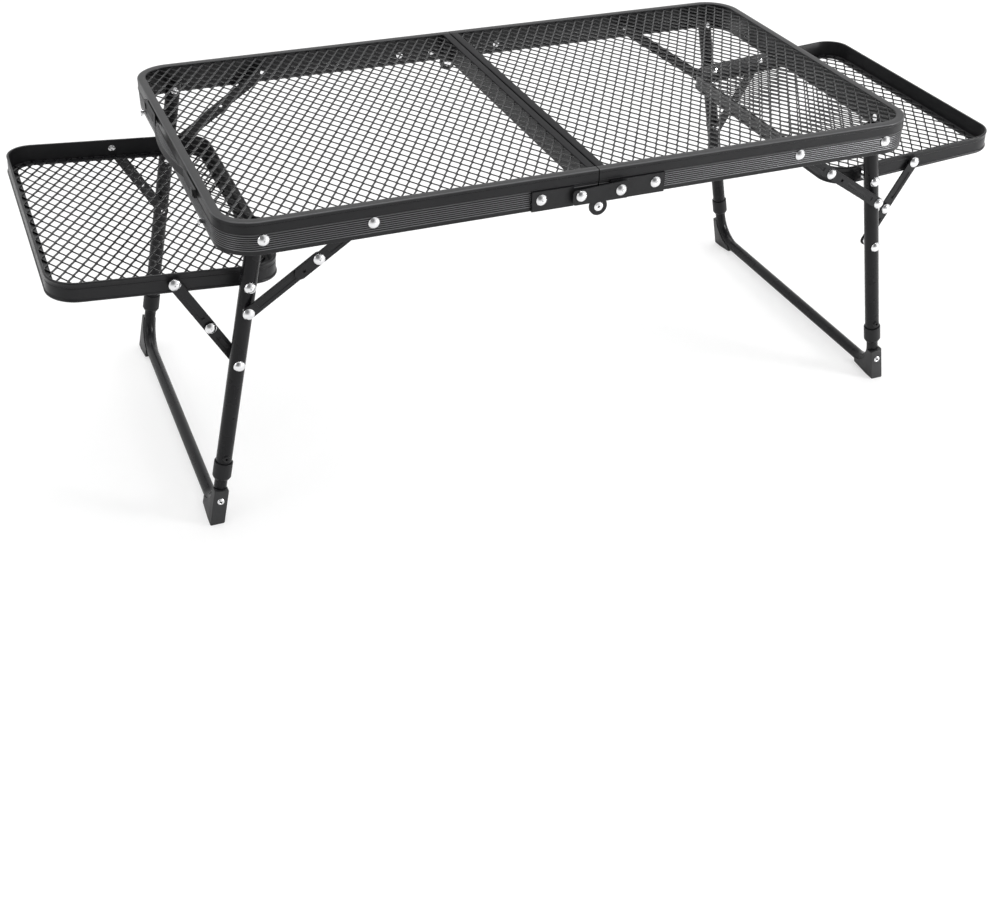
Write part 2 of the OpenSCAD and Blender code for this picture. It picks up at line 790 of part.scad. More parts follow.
// Wing brace links: the lower hangs from the leg, the upper from the rim
module wing_brace_lowers(side) {
    color(black) half(side) both_sides() link(wing_brace_pivot, wing_brace_mid, wing_lower_y, wing_link_t);
}
module wing_brace_uppers(side) {
    color(black) half(side) both_sides() link(rim_pivot, wing_brace_mid, wing_upper_y, wing_link_t);
}
module wing_brace_mid_rivets(side) {
    color(chrome) half(side) both_sides() {
        dome(wing_brace_mid, wing_lower_y - seat, dome_d, thin_dome_h);
        pin(wing_brace_mid, wing_lower_y - head_edge, wing_lower_y + wing_link_t, shank_d);
    }
}

// Carry strap on the left end: a bowed grip between two flat doubled ends
module handle_strap() {
    chord = 2 * (clip_y + clip_end - strap_end_l);
    r = (chord * chord / 4 + bow * bow) / (2 * bow);
    color(strap_grey) translate([-half_l, 0, strap_z]) difference() {
        linear_extrude(strap_w, center = true) {
            intersection() {
                translate([r - bow - strap_t, 0]) difference() {
                    circle(r = r, $fn = 256);
                    circle(r = r - strap_t, $fn = 256);
                }
                translate([-3 * bow, -chord / 2]) square([3 * bow - strap_seat, chord]);
            }
            for (k = [-1, 1])
                translate([-strap_seat - 2 * strap_t, k * (chord + strap_end_l) / 2 - strap_end_l / 2])
                    square([2 * strap_t, strap_end_l]);
        }
        for (y = clip_ys) translate([-2 * bow, y, 0]) rotate([0, 90, 0])
            cylinder(h = 2 * bow, d = clip_shank + 2 * seat);
    }
}

// Clips and rivets that hold the strap ends
module handle_clips() {
    out = strap_seat + 2 * strap_t;
    base_z = -wall_t - stud_base_h - seat;
    color(black) for (y = clip_ys) translate([-half_l, y, strap_z]) rotate([0, -90, 0]) {
        translate([0, 0, out + seat]) cylinder(h = clip_cap_h, d = clip_cap_d);
        translate([0, 0, base_z]) cylinder(h = out - base_z + 2 * seat, d = clip_shank);
        translate([0, 0, base_z]) cylinder(h = stud_base_h, d = clip_base_d);
    }
}

// Closing hook, stowed along the right end, with its notch where a stud comes when it is turned
module hook(far) {
    reach = 2 * (end_z - fold_pivot.y);
    color(chrome) mirror([0, far ? 1 : 0, 0]) translate([half_l + hook_gap, -end_y, end_z])
        rotate([90, 0, 90]) linear_extrude(hook_t) difference() {
            union() {
                circle(d = hook_w);
                translate([0, -hook_w / 2]) square([reach + hook_end, hook_w]);
                translate([reach + hook_end, 0]) circle(d = hook_w);
            }
            circle(d = shank_d + 2 * run);
            translate([reach, 0]) circle(d = notch_w);
            translate([reach - notch_w / 2, -hook_w]) square([notch_w, hook_w]);
        }
}

// Rivets on which the closing hooks turn
module hook_pivots() {
    base_z = -wall_t - stud_base_h - seat;
    out = hook_gap + hook_t;
    color(chrome) for (y = end_ys) translate([half_l, y, end_z]) rotate([0, 90, 0]) {
        translate([0, 0, base_z]) cylinder(h = stud_base_h, d = stud_base_d);
        translate([0, 0, base_z]) cylinder(h = out - base_z + head_edge, d = shank_d);
        translate([0, 0, seat]) cylinder(h = hook_gap - 2 * seat, d = stud_base_d);
        translate([0, 0, out + seat]) cylinder(h = tail_h, d1 = stud_base_d, d2 = stud_base_d - tail_h);
    }
}

side_frame(left);  // left_side_frame
centre_bar(left);  // left_centre_bar
mesh(left);  // left_mesh
bar_caps(left);  // left_bar_caps
hinge_plates(left);  // left_hinge_plates
frame_rivets(left);  // left_frame_rivets
studs(left);  // left_studs
latch_plate(left);  // left_latch_plate
latch_snap(left);  // left_latch_snap
upper_legs(left);  // left_upper_legs
collars(left);  // left_collars
leg_rivets(left);  // left_leg_rivets
lower_leg(left);  // left_lower_leg
feet(left);  // left_feet
foot_rivets(left);  // left_foot_rivets
button(left, false);  // left_near_button
button(left, true);  // left_far_button
wing_rim(left);  // left_wing_rim
wing_mesh(left);  // left_wing_mesh
wing_rivets(left);  // left_wing_rivets
brace_uppers(left);  // left_brace_uppers
brace_lowers(left);  // left_brace_lowers
brace_mid_rivets(left);  // left_brace_mid_rivets
wing_brace_uppers(left);  // left_wing_brace_uppers
wing_brace_lowers(left);  // left_wing_brace_lowers
wing_brace_mid_rivets(left);  // left_wing_brace_mid_rivets
side_frame(right);  // right_side_frame
centre_bar(right);  // right_centre_bar
mesh(right);  // right_mesh
bar_caps(right);  // right_bar_caps
hinge_plates(right);  // right_hinge_plates
frame_rivets(right);  // right_frame_rivets
studs(right);  // right_studs
latch_plate(right);  // right_latch_plate
latch_snap(right);  // right_latch_snap
upper_legs(right);  // right_upper_legs
collars(right);  // right_collars
leg_rivets(right);  // right_leg_rivets
lower_leg(right);  // right_lower_leg
feet(right);  // right_feet
foot_rivets(right);  // right_foot_rivets
button(right, false);  // right_near_button
button(right, true);  // right_far_button
wing_rim(right);  // right_wing_rim
wing_mesh(right);  // right_wing_mesh
wing_rivets(right);  // right_wing_rivets
brace_uppers(right);  // right_brace_uppers
brace_lowers(right);  // right_brace_lowers
brace_mid_rivets(right);  // right_brace_mid_rivets
wing_brace_uppers(right);  // right_wing_brace_uppers
wing_brace_lowers(right);  // right_wing_brace_lowers
wing_brace_mid_rivets(right);  // right_wing_brace_mid_rivets
hinge_pins();
handle_strap();
handle_clips();
hook(false);  // near_hook
hook(true);  // far_hook
hook_pivots();
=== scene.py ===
"""A folding camping table of black mesh in fluted frames, seen from the front left."""
import json
import math

import bmesh
import bpy
import numpy as np
from mathutils import Matrix, Vector


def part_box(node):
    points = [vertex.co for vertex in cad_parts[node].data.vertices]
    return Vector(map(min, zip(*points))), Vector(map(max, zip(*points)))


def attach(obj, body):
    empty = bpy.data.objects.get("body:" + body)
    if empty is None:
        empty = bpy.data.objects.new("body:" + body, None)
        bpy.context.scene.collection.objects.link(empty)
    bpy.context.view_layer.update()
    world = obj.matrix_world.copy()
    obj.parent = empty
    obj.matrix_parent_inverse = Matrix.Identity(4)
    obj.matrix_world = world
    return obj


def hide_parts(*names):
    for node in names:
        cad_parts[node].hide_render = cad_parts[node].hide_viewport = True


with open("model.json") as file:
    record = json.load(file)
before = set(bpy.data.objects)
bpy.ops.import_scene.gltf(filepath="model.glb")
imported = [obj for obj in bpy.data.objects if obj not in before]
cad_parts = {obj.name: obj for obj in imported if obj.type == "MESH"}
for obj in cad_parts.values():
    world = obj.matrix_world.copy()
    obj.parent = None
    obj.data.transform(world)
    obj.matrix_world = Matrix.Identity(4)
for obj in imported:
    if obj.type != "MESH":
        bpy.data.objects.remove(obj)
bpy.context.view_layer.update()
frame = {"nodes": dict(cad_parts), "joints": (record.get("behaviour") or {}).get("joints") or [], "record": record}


# Camera. It stands a little left of the table's left end, looks down by 35 degrees and is
# turned by a degree and a half, as the photograph's own straight edges show.
camera_place = Vector((-0.5924, -1.3631, 0.9169))
camera_azimuth = math.radians(-23.23)
camera_tilt = math.radians(35.505)
camera_roll = math.radians(1.52)
camera_data = bpy.data.cameras.new("camera")
camera_data.sensor_width = 36.0
camera_data.lens = 51.31
camera_data.clip_start = 0.05
camera = bpy.data.objects.new("camera", camera_data)
bpy.context.scene.collection.objects.link(camera)
camera.matrix_world = (
    Matrix.Translation(camera_place)
    @ Matrix.Rotation(camera_azimuth, 4, "Z")
    @ Matrix.Rotation(math.pi / 2 - camera_tilt, 4, "X")
    @ Matrix.Rotation(camera_roll, 4, "Z")
)
bpy.context.scene.camera = camera


# Mesh sheets. Each is one sheet of steel, slit and stretched until the slits open into
# diamonds, then dipped in black coating and tucked under the lip of its frame or rim.
diamond_long = 0.0210
diamond_short = 0.0122
strand_w = 0.0019
strand_t = 0.0013
knuckle = 0.0030
mesh_lift = math.radians(-28)
sheet_tuck = 0.001
half_sheet_corner = 0.0346
wing_sheet_corner = 0.0250
wing_tilt = math.radians(4)


def group_with(name, inputs, outputs):
    """A new shader node group with float or colour inputs and outputs, and its end nodes."""
    group = bpy.data.node_groups.new(name, "ShaderNodeTree")
    for label, kind, value in inputs:
        socket = group.interface.new_socket(label, in_out="INPUT", socket_type=kind)
        socket.default_value = value
    for label, kind in outputs:
        group.interface.new_socket(label, in_out="OUTPUT", socket_type=kind)
    start = group.nodes.new("NodeGroupInput")
    end = group.nodes.new("NodeGroupOutput")
    return group, start, end


def math_node(tree, operation, a, b=None, clamp=False):
    """A maths node fed by sockets or plain numbers."""
    node = tree.nodes.new("ShaderNodeMath")
    node.operation = operation
    node.use_clamp = clamp
    for i, value in enumerate((a, b)):
        if value is None:
            continue
        if isinstance(value, (int, float)):
            node.inputs[i].default_value = value
        else:
            tree.links.new(value, node.inputs[i])
    return node.outputs[0]


def coat_group():
    """Sprayed coating: a fine orange peel, faint clouds in its gloss, and rubbed patches.

    The peel is noise of the given grain, the clouds are noise forty times as wide, and the
    rubs are the peaks of a third noise, cut off sharply.
    """
    cloud_grain, spot_grain = 0.025, 0.08
    rub_start, rub_gain = 0.62, 9.0
    group, start, end = group_with(
        "sprayed_coat",
        [("Grain", "NodeSocketFloat", 1400.0), ("Rub", "NodeSocketFloat", 0.5)],
        [("Height", "NodeSocketFloat"), ("Cloud", "NodeSocketFloat"),
         ("Rubbed", "NodeSocketFloat")],
    )
    place = group.nodes.new("ShaderNodeTexCoord").outputs["Object"]

    def noise(scale, detail, rough):
        """Noise on the object's own coordinates, at a scale that a socket gives."""
        node = group.nodes.new("ShaderNodeTexNoise")
        group.links.new(place, node.inputs["Vector"])
        group.links.new(scale, node.inputs["Scale"])
        node.inputs["Detail"].default_value = detail
        node.inputs["Roughness"].default_value = rough
        return node.outputs["Fac"]

    grain = start.outputs["Grain"]
    peel = noise(grain, 2.0, 0.5)
    clouds = noise(math_node(group, "MULTIPLY", grain, cloud_grain), 3.0, 0.6)
    spots = noise(math_node(group, "MULTIPLY", grain, spot_grain), 6.0, 0.7)
    rubbed = math_node(group, "SUBTRACT", spots, rub_start)
    rubbed = math_node(group, "MULTIPLY", rubbed, rub_gain, clamp=True)
    rubbed = math_node(group, "MULTIPLY", rubbed, start.outputs["Rub"], clamp=True)
    group.links.new(peel, end.inputs["Height"])
    group.links.new(clouds, end.inputs["Cloud"])
    group.links.new(rubbed, end.inputs["Rubbed"])
    return group


sprayed_coat = coat_group()


def ramp(tree, fac, low, high, start=0.3, stop=0.7):
    """A map from a factor between start and stop to a value between low and high."""
    node = tree.nodes.new("ShaderNodeMapRange")
    tree.links.new(fac, node.inputs["Value"])
    node.inputs["From Min"].default_value = start
    node.inputs["From Max"].default_value = stop
    node.inputs["To Min"].default_value = low
    node.inputs["To Max"].default_value = high
    return node.outputs["Result"]


def mix_colour(tree, fac, dark, light):
    """Two colours mixed by a factor. The first may be a socket."""
    node = tree.nodes.new("ShaderNodeMix")
    node.data_type = "RGBA"
    tree.links.new(fac, node.inputs["Factor"])
    if isinstance(dark, tuple):
        node.inputs["A"].default_value = (*dark, 1)
    else:
        tree.links.new(dark, node.inputs["A"])
    node.inputs["B"].default_value = (*light, 1)
    return node.outputs["Result"]


def new_material(name, grain, rub):
    """A material's tree, its shader, and a sprayed coat of the given grain and rubbing."""
    material = bpy.data.materials.new(name)
    material.use_nodes = True
    tree = material.node_tree
    skin = tree.nodes.new("ShaderNodeGroup")
    skin.node_tree = sprayed_coat
    skin.inputs["Grain"].default_value = grain
    skin.inputs["Rub"].default_value = rub
    return material, tree, tree.nodes["Principled BSDF"], skin


def coated(name, dark, light, rough, grain, bump, rub, specular=0.28, ridge=None):
    """Coated metal: base colour by clouds and rubs, gloss by clouds, bump by the orange peel.

    Where a ridge colour is given, the surface is metal of that colour where its ridge
    attribute is 1: partly rubbed bare metal, and partly a painted highlight that makes the
    ridges lighter and glossier than the coat.
    """
    cloud_share, gloss_spread, rub_gloss, peel_depth = 0.7, 0.05, 0.12, 0.0001
    material, tree, shader, skin = new_material(name, grain, rub)
    clouds, rubs = skin.outputs["Cloud"], skin.outputs["Rubbed"]
    tone = math_node(tree, "ADD", ramp(tree, clouds, 0.0, cloud_share), rubs, True)
    base = mix_colour(tree, tone, dark, light)
    if ridge:
        ridge_wear_and_highlight = tree.nodes.new("ShaderNodeAttribute")
        ridge_wear_and_highlight.attribute_name = "ridge"
        base = mix_colour(tree, ridge_wear_and_highlight.outputs["Fac"], base, ridge)
        tree.links.new(ridge_wear_and_highlight.outputs["Fac"], shader.inputs["Metallic"])
    tree.links.new(base, shader.inputs["Base Color"])
    gloss = ramp(tree, clouds, rough - gloss_spread, rough + gloss_spread)
    gloss = math_node(tree, "SUBTRACT", gloss, math_node(tree, "MULTIPLY", rubs, rub_gloss))
    tree.links.new(gloss, shader.inputs["Roughness"])
    shader.inputs["Specular IOR Level"].default_value = specular
    relief = tree.nodes.new("ShaderNodeBump")
    relief.inputs["Strength"].default_value = bump
    relief.inputs["Distance"].default_value = peel_depth
    tree.links.new(skin.outputs["Height"], relief.inputs["Height"])
    tree.links.new(relief.outputs["Normal"], shader.inputs["Normal"])
    return material


mesh_coating = coated(
    "mesh_coating", (0.005, 0.005, 0.006), (0.011, 0.011, 0.012),
    rough=0.28, grain=1100.0, bump=0.5, rub=0.4, specular=0.42,
)


def paint(names, material):
    """Gives CAD nodes their material."""
    for name in names:
        data = frame["nodes"][name].data
        data.materials.clear()
        data.materials.append(material)


def zigzag(y, side):
    """Sideways place of a strand at y: a triangle wave with flat tops where strands meet.

    The wave has one period per diamond length. side is +1 or -1 for strands that lean
    opposite ways, and the wave is cut off at the knuckles, which are the flats.
    """
    phase = np.abs((y / diamond_long) % 1.0 - 0.5) * 4.0 - 1.0
    steep = 1.0 / (1.0 - 2.0 * knuckle / diamond_long)
    reach = diamond_short / 4 - strand_w / 4
    return side * reach * np.clip(phase * steep, -1.0, 1.0)


def strand_grid(x, y, level):
    """Points of bars along strands: a flat bar's section with broken corners, in shares of
    half its width and thickness, turned by the lift angle and set at x, y and level(x)."""
    section = np.array(((-1, -0.7), (-0.8, -1), (0.8, -1), (1, -0.7),
                        (1, 0.7), (0.8, 1), (-0.8, 1), (-1, 0.7)))
    sx = section[:, 0] * strand_w / 2
    sz = section[:, 1] * strand_t / 2
    px = x[:, :, None] + sx * math.cos(mesh_lift) - sz * math.sin(mesh_lift)
    pz = level(x[:, :, None]) + sx * math.sin(mesh_lift) + sz * math.cos(mesh_lift)
    return np.stack((px, np.broadcast_to(y[:, :, None], px.shape), pz), axis=-1)


def expanded_sheet(name, x0, x1, half_y, corner, ends, level):
    """A sheet of expanded mesh: strands side by side along Y, each a thin bar on a zigzag.

    Strand i lies at x0 + (i + 1/2) times half a diamond width. Its length follows the
    sheet's rounded outline, and its bar section leans by the lift angle, as the slitting
    knife leaves it. Stretches that the outline cuts down to nothing are left out.
    """
    no_length = 1e-6
    step = diamond_short / 2
    count = int((x1 - x0) / step)
    centre = x0 + (x1 - x0 - count * step) / 2 + (np.arange(count) + 0.5) * step
    half = np.full(count, half_y)
    for wanted, edge, inward in ((ends[0], x0, 1), (ends[1], x1, -1)):
        if wanted:
            short = np.clip(corner - inward * (centre - edge), 0, corner)
            half = np.minimum(half, half_y - corner + np.sqrt(corner ** 2 - short ** 2))
    reach = int(half_y / diamond_long * 2) + 2
    tops = diamond_long / 2 * np.arange(-reach, reach + 1)
    knots = np.sort(np.concatenate((tops - knuckle / 2, tops + knuckle / 2)))
    y = np.clip(knots[None, :], -half[:, None], half[:, None])
    side = np.where(np.arange(count) % 2 == 0, 1.0, -1.0)[:, None]
    points = strand_grid(centre[:, None] + zigzag(y, side), y, level)
    rows, cols, ring = points.shape[:3]
    index = np.arange(rows * cols * ring).reshape(rows, cols, ring)
    turned = np.roll(index, -1, 2)
    quads = np.stack((index[:, :-1], turned[:, :-1], turned[:, 1:], index[:, 1:]), axis=-1)
    real = (y[:, 1:] - y[:, :-1]) > no_length
    row = np.arange(rows)
    first = np.argmax(real, axis=1)
    last = cols - 1 - np.argmax(real[:, ::-1], axis=1)
    faces = quads[real].reshape(-1, 4)[:, ::-1].tolist()
    faces += index[row, first].tolist()
    faces += index[row, last][:, ::-1].tolist()
    data = bpy.data.meshes.new(name)
    data.from_pydata(points.reshape(-1, 3), [], faces)
    clean = bmesh.new()
    clean.from_mesh(data)
    loose = [v for v in clean.verts if not v.link_faces]
    bmesh.ops.delete(clean, geom=loose, context="VERTS")
    bmesh.ops.recalc_face_normals(clean, faces=clean.faces)
    clean.to_mesh(data)
    clean.free()
    data.materials.append(mesh_coating)
    piece = bpy.data.objects.new(name, data)
    bpy.context.scene.collection.objects.link(piece)
    return piece


for half_name, body in (("left", "left_half"), ("right", "right_half")):
    low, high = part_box(half_name + "_mesh")
    middle_z = (low.z + high.z) / 2
    sheet_piece = expanded_sheet(
        half_name + "_expanded_mesh", low.x + sheet_tuck, high.x - sheet_tuck,
        high.y - sheet_tuck, half_sheet_corner, (half_name == "left", half_name == "right"),
        lambda x, z=middle_z: z + 0 * x,
    )
    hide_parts(half_name + "_mesh")
    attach(sheet_piece, body)
    paint([half_name + "_mesh"], mesh_coating)

for half_name, outward in (("left", -1), ("right", 1)):
    low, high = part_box(half_name + "_wing_mesh")
    wing_piece = expanded_sheet(
        half_name + "_wing_expanded_mesh", low.x + sheet_tuck, high.x - sheet_tuck,
        high.y - sheet_tuck, wing_sheet_corner, (True, True),
        lambda x, c=(low + high) / 2, o=outward: c.z + (x - c.x) * o * math.tan(wing_tilt),
    )
    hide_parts(half_name + "_wing_mesh")
    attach(wing_piece, half_name + "_wing")
    paint([half_name + "_wing_mesh"], mesh_coating)


# Frame rails. Each is a drawn aluminium strip with a flat lip, a plain band and seven flutes,
# bent once round the two corners of its half, cut off at the seam and coated satin black.
rail_h = 0.033
rail_wall = 0.002
rail_edge_r = 0.00144
lip_reach = 0.009
lip_t = 0.0016
lip_edge_r = 0.0008
small_r = 0.0005
crease_in = 0.00005
crease_w = -0.0036
crease_r = 0.0003
bead_w = -0.0116
bead_r = 0.0006
flutes = 7
flute_pitch = 0.00215
flute_w = -0.0142
flute_r = 0.0007
land_r = 0.00056
land_in = 0.00043
last_land_w = -0.0287
frame_corner = 0.038

# The ridge colour is partly rubbed bare metal on the flute lands and the lip's outer edge, and partly a painted
# highlight that lights those ridges up as lines of glint.
frame_black = coated(
    "frame_black", (0.009, 0.009, 0.010), (0.015, 0.015, 0.016),
    rough=0.34, grain=900.0, bump=0.35, rub=0.35, specular=0.24, ridge=(0.17, 0.17, 0.175),
)


def rounded_run(x0, x1, half_y, corner, far_corners, steps=22):
    """Points and inward directions along a rounded outline, as two arrays.

    Each corner is centre + corner * (cos a, sin a), with a turning by a quarter. Without the
    far corners the outline is a U that is open at x1.
    """
    quarter = np.linspace(0.0, math.pi / 2, steps + 1)
    left, right = x0 + corner, x1 - corner
    turns = [(left, half_y - corner, math.pi / 2), (left, -half_y + corner, math.pi)]
    if far_corners:
        turns += [(right, -half_y + corner, 1.5 * math.pi), (right, half_y - corner, 0.0)]
    points, inward = [], []
    for cx, cy, start in turns:
        ray = np.stack((np.cos(start + quarter), np.sin(start + quarter)), axis=1)
        points.append(np.array((cx, cy)) + corner * ray)
        inward.append(-ray)
    points, inward = np.concatenate(points), np.concatenate(inward)
    if not far_corners:
        points = np.concatenate(([[x1, half_y]], points, [[x1, -half_y]]))
        inward = np.concatenate(([[0, -1]], inward, [[0, 1]]))
    return points, inward


def ring_faces(rows, ring, looped=False):
    """Faces between neighbouring rings of points. The first and last ring are closed flat,
    or else joined in a loop."""
    index = np.arange(rows * ring).reshape(rows, ring)
    before = index if looped else index[:-1]
    after = np.roll(index, -1, 0) if looped else index[1:]
    quads = np.stack((before, np.roll(before, -1, 1), np.roll(after, -1, 1), after), axis=-1)
    faces = quads.reshape(-1, 4).tolist()
    if not looped:
        faces += [index[0, ::-1].tolist(), index[-1].tolist()]
    return faces


def swept_rail(points, inward, section, level, looped):
    """A closed section carried along an outline: point i, j is points[i] + u[j] * inward[i]
    at the height level + w[j]."""
    u, w = section[:, 0], section[:, 1]
    flat = points[:, None, :] + u[None, :, None] * inward[:, None, :]
    height = np.broadcast_to((level + w)[None, :, None], flat.shape[:2] + (1,))
    grid = np.concatenate((flat, height), axis=2)
    return grid.reshape(-1, 3), ring_faces(len(points), len(section), looped)


def arc(cx, cy, r, start, stop, steps):
    """Points on a circle from one angle to another, in degrees."""
    a = np.radians(np.linspace(start, stop, steps + 1))
    return np.stack((cx + r * np.cos(a), cy + r * np.sin(a)), axis=1)


def finished(name, points, faces, material, soft_below=35.0, ridge=None):
    """A new piece with closed, outward faces, smooth but for edges sharper than an angle.

    Ridge is one value for each point, kept as an attribute for the material.
    """
    same_point = 1e-6
    data = bpy.data.meshes.new(name)
    data.from_pydata(points, [], faces)
    if ridge is not None:
        values = data.attributes.new("ridge", "FLOAT", "POINT").data
        values.foreach_set("value", ridge.astype(np.float32))
    clean = bmesh.new()
    clean.from_mesh(data)
    bmesh.ops.remove_doubles(clean, verts=clean.verts, dist=same_point)
    bmesh.ops.recalc_face_normals(clean, faces=clean.faces)
    clean.to_mesh(data)
    clean.free()
    data.shade_smooth()
    data.set_sharp_from_angle(angle=math.radians(soft_below))
    data.materials.append(material)
    piece = bpy.data.objects.new(name, data)
    bpy.context.scene.collection.objects.link(piece)
    return piece


def rail_foot(depth):
    """The rounded foot of a wall of the rail's thickness, at a depth below the top."""
    return [arc(small_r, small_r - depth, small_r, 180, 270, 3),
            arc(rail_wall - small_r, small_r - depth, small_r, 270, 360, 3)]


def rail_lip():
    """From the inside of the wall round its corner, along under the lip and over its edge."""
    return [arc(rail_wall + small_r, -lip_t - small_r, small_r, 180, 90, 3),
            arc(lip_reach - small_r, small_r - lip_t, small_r, 270, 360, 3),
            arc(lip_reach - lip_edge_r, -lip_edge_r, lip_edge_r, 0, 90, 4)]


def rail_edge():
    """The rounded outer edge of the top."""
    return arc(rail_edge_r, -rail_edge_r, rail_edge_r, 90, 180, 6)


def frame_section():
    """The rail's section: u inward from the outer face, w up from the top.

    It runs down the outside over a crease, a bead and the flutes, which are half circles let
    into the face with rounded lands between them, round the foot of the wall, up the inside
    and along the lip. The second result is 1 on the lands and less on the edge: partly rubbed
    coating, and partly a painted highlight that draws these ridges as light lines.
    """
    # Shares of rubbed bare metal, which also paint a highlight along the edge, the flute rims and the lands.
    edge_wear_and_highlight = (0.0, 0.15, 0.4, 0.5, 0.4, 0.15, 0.0)
    flute_wear_and_highlight = (0.7, 0.2, 0.0, 0.0, 0.0, 0.2, 0.7)
    land_wear_and_highlight = (0.8, 1.0, 1.0, 1.0, 1.0, 0.8)
    stretches = [(rail_edge(), edge_wear_and_highlight), (arc(crease_in, crease_w, crease_r, 80, -80, 4), 0.0),
                 (arc(0.0, bead_w, bead_r, 110, 250, 8), 0.0)]
    for i in range(flutes):
        w = flute_w - flute_pitch * i
        stretches += [(arc(0.0, w, flute_r, 76, -76, 6), flute_wear_and_highlight),
                      (arc(land_in, w - flute_pitch / 2, land_r, 140, 220, 5), land_wear_and_highlight)]
    stretches += [(part, 0.0) for part in
                  (np.array(((0.0, last_land_w),)), *rail_foot(rail_h), *rail_lip())]
    rubs = [np.broadcast_to(rub, len(part)) for part, rub in stretches]
    return np.concatenate([part for part, rub in stretches]), np.concatenate(rubs)


for half_name, outward in (("left", -1), ("right", 1)):
    low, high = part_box(half_name + "_side_frame")
    outer = max(abs(low.x), abs(high.x))
    inner = min(abs(low.x), abs(high.x))
    run, inward = rounded_run(-outer + bead_r, -inner, high.y - bead_r, frame_corner, False)
    run, inward = run * (-outward, 1), inward * (-outward, 1)
    # rubbed holds, for each point of the section, the share of rubbed metal and painted highlight.
    section, rubbed = frame_section()
    points, faces = swept_rail(run, inward, section, high.z, False)
    rail_piece = finished(half_name + "_frame_rail", points, faces, frame_black,
                          ridge=np.tile(rubbed, len(run)))
    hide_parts(half_name + "_side_frame")
    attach(rail_piece, half_name + "_half")
    paint([half_name + "_side_frame"], frame_black)


# Centre bars. Each is cut from the same strip as the frame and let in between its two long
# sides, so that the fluted faces of the two meet at the seam.
lip_stop = 0.007
wall_overlap = 0.0005
wall_top_w = -0.0017

# Painted shade: the bars carry the frame's coat, made darker and less glossy than frame_black, as the shade
# between the two halves.
shaded_bar_black = coated(
    "shaded_bar_black", (0.005, 0.005, 0.006), (0.009, 0.009, 0.010),
    rough=0.44, grain=900.0, bump=0.35, rub=0.2, specular=0.08,
)


def bar_sections(depth):
    """The bar's sections: u inward from the seam face, w up from the top.

    The first result is the whole section and the second the wall alone, below the lip.
    """
    face = [arc(0.0, flute_w - flute_pitch * i, flute_r, 82, -82, 6) for i in range(flutes)]
    whole = [rail_edge(), *face, *rail_foot(depth), *rail_lip()]
    wall = [np.array(((rail_wall, wall_top_w), (0.0, wall_top_w))), *face, *rail_foot(depth)]
    return np.concatenate(whole), np.concatenate(wall)


def joined(parts):
    """Several pairs of points and faces as one pair."""
    points, faces, first = [], [], 0
    for part_points, part_faces in parts:
        points.append(part_points)
        faces += [[corner + first for corner in face] for face in part_faces]
        first += len(part_points)
    return np.concatenate(points), faces


for half_name, outward in (("left", -1), ("right", 1)):
    low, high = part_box(half_name + "_centre_bar")
    seam_x = high.x if half_name == "left" else low.x
    inward = np.array(((outward, 0.0), (outward, 0.0)))
    whole, wall = bar_sections(high.z - low.z)
    inner_y, overlap_y = high.y - lip_stop, high.y - lip_stop - wall_overlap
    points, faces = joined([
        swept_rail(np.array(((seam_x, y0), (seam_x, y1))), inward, section, high.z, False)
        for section, y0, y1 in ((whole, -inner_y, inner_y), (wall, -high.y, -overlap_y),
                                (wall, overlap_y, high.y))])
    bar_piece = finished(half_name + "_seam_bar", points, faces, shaded_bar_black)
    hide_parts(half_name + "_centre_bar")
    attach(bar_piece, half_name + "_half")
    paint([half_name + "_centre_bar"], shaded_bar_black)


# Wing rims. Each is a folded steel strip, closed into a ring, with a rolled bead along its top
# edge, a wider one along its foot, and a flange inside on which the mesh lies.
wing_out = 0.179
wing_in = 0.038
wing_corner = 0.028
rim_proud = 0.0008
rim_wall = 0.0016
rim_top_w = 0.0087
rim_top_r = 0.0013
rim_groove_in = -0.0001
rim_groove_w = 0.004
rim_groove_r = 0.0006
rim_foot_w = -0.0081
rim_foot_r = 0.0019
rim_bead_in = 0.0009
flange_in = 0.0095
pivots = {joint["name"]: np.array(joint["pos_m"]) for joint in frame["joints"]}


def rim_section():
    """The rim's section: u inward from the outer face, w up from the pivot line. It runs over
    the top bead, down past a groove, round the foot bead, along the flange and back up."""
    return np.concatenate((
        arc(rim_bead_in, rim_top_w, rim_top_r, 20, 225, 12),
        arc(rim_groove_in, rim_groove_w, rim_groove_r, 70, -70, 4),
        arc(rim_bead_in, rim_foot_w, rim_foot_r, 118, 268, 10),
        arc(flange_in, rim_foot_w - rim_foot_r + small_r, small_r, 270, 360, 3),
        arc(flange_in, rim_foot_w - 2 * small_r, small_r, 0, 90, 3),
        arc(rim_wall + small_r, rim_foot_w, small_r, 270, 180, 3)))


for half_name, outward in (("left", -1), ("right", 1)):
    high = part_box(half_name + "_wing_rim")[1]
    run, inward = rounded_run(-wing_out, wing_in, high.y - rim_proud, wing_corner, True)
    points, faces = swept_rail(run, inward, rim_section(), 0.0, True)
    turned = np.stack((
        points[:, 0] * math.cos(wing_tilt) + points[:, 2] * math.sin(wing_tilt),
        points[:, 1],
        points[:, 2] * math.cos(wing_tilt) - points[:, 0] * math.sin(wing_tilt)), axis=1)
    turned[:, 0] *= -outward
    turned += pivots[half_name + "_wing_fold"] * (1, 0, 1)
    rim_piece = finished(half_name + "_rolled_rim", turned, faces, frame_black)
    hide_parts(half_name + "_wing_rim")
    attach(rim_piece, half_name + "_wing")
    paint([half_name + "_wing_rim"], frame_black)


# Leg tubes. Two drawn steel tubes hang from the frame at each end, and a thinner tube, bent
# into a U, slides in both. All are sprayed black and smoother than the frame.
tube_black = coated(
    "tube_black", (0.007, 0.007, 0.008), (0.013, 0.013, 0.014),
    rough=0.28, grain=1000.0, bump=0.3, rub=0.1, specular=0.18,
)
halves = ("left_", "right_")
paint([half_name + kind for half_name in halves for kind in ("upper_legs", "lower_leg")],
      tube_black)


